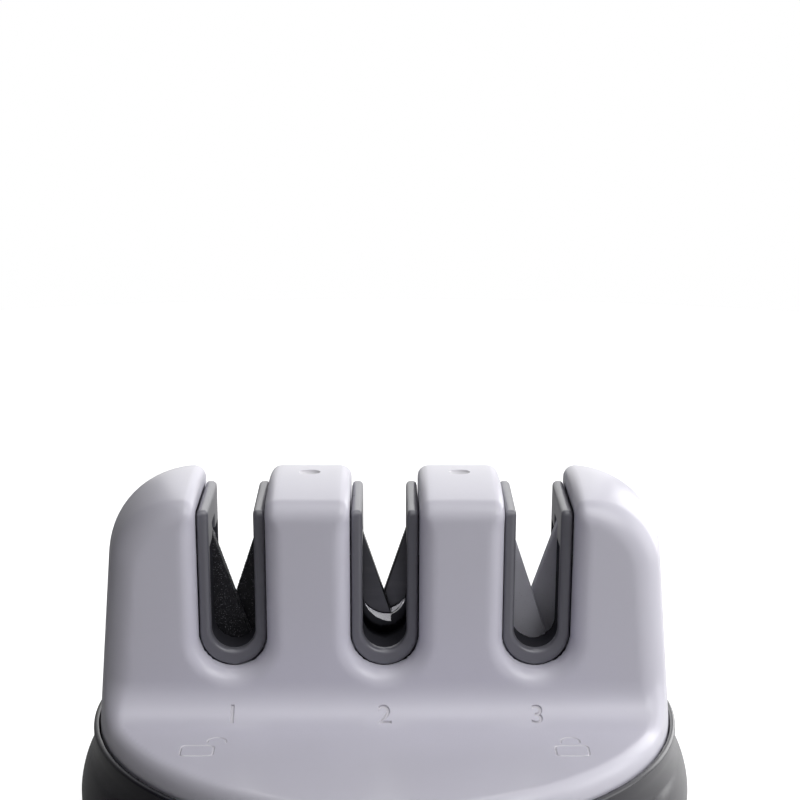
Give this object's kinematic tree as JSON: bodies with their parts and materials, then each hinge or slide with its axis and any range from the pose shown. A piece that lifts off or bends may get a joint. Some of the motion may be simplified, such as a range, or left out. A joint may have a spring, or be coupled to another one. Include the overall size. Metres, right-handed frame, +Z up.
{
  "type": "knife sharpener",
  "caption": "Countertop pull-through knife sharpener: a white head with slotted towers and dark liners on a dark twist-lock suction base.",
  "frame": {"origin": "centre of the suction cup's sealing rim on the table", "axes": "+Z up, knife slots run along Y, slots side by side along X, numbered front faces -Y"},
  "size_m": [0.114, 0.114, 0.0778],
  "materials": {
    "head_white": "gloss",
    "liner_gray": "satin",
    "ring_gray": "gloss",
    "diamond_black": "rough",
    "carbide_steel": "ground",
    "ceramic_gray": "matte",
    "inner_plastic": "matte",
    "slide_plastic": "satin",
    "cup_rubber": "satin",
    "steel": "bright"
  },
  "bodies": {
    "head": {"head_shell": "head_white", "liner_front": "liner_gray", "liner_rear": "liner_gray", "liner_screws": "steel", "coarse_plate_left": "diamond_black", "coarse_plate_right": "diamond_black", "carbide_blade_left": "carbide_steel", "carbide_blade_right": "carbide_steel", "ceramic_plate_left": "ceramic_gray", "ceramic_plate_right": "ceramic_gray", "inner_deck": "inner_plastic", "head_screws": "steel", "glide_washer": "slide_plastic", "pressure_plate": "inner_plastic", "pressure_screws": "steel", "suction_cup": "cup_rubber", "return_spring": "steel"},
    "ring": {"lock_ring": "ring_gray", "cam_ring": "slide_plastic"},
    "lift": {"cup_stud": "steel", "lift_slider": "slide_plastic", "cross_pin": "steel"}
  },
  "joints": [
    {"name": "ring_turn", "type": "hinge", "parent": "head", "child": "ring", "pos_m": [0, 0, 0.02], "axis": [0, 0, 1], "range_deg": [0, 90]},
    {"name": "cup_lift", "type": "slide", "parent": "head", "child": "lift", "axis": [0, 0, 1], "range_m": [0, 0.004], "deforming": ["suction_cup", "return_spring"]}
  ],
  "couplings": [
    {"joint": "cup_lift", "follows": "ring_turn", "m_per_rad": 0.0025}
  ]
}
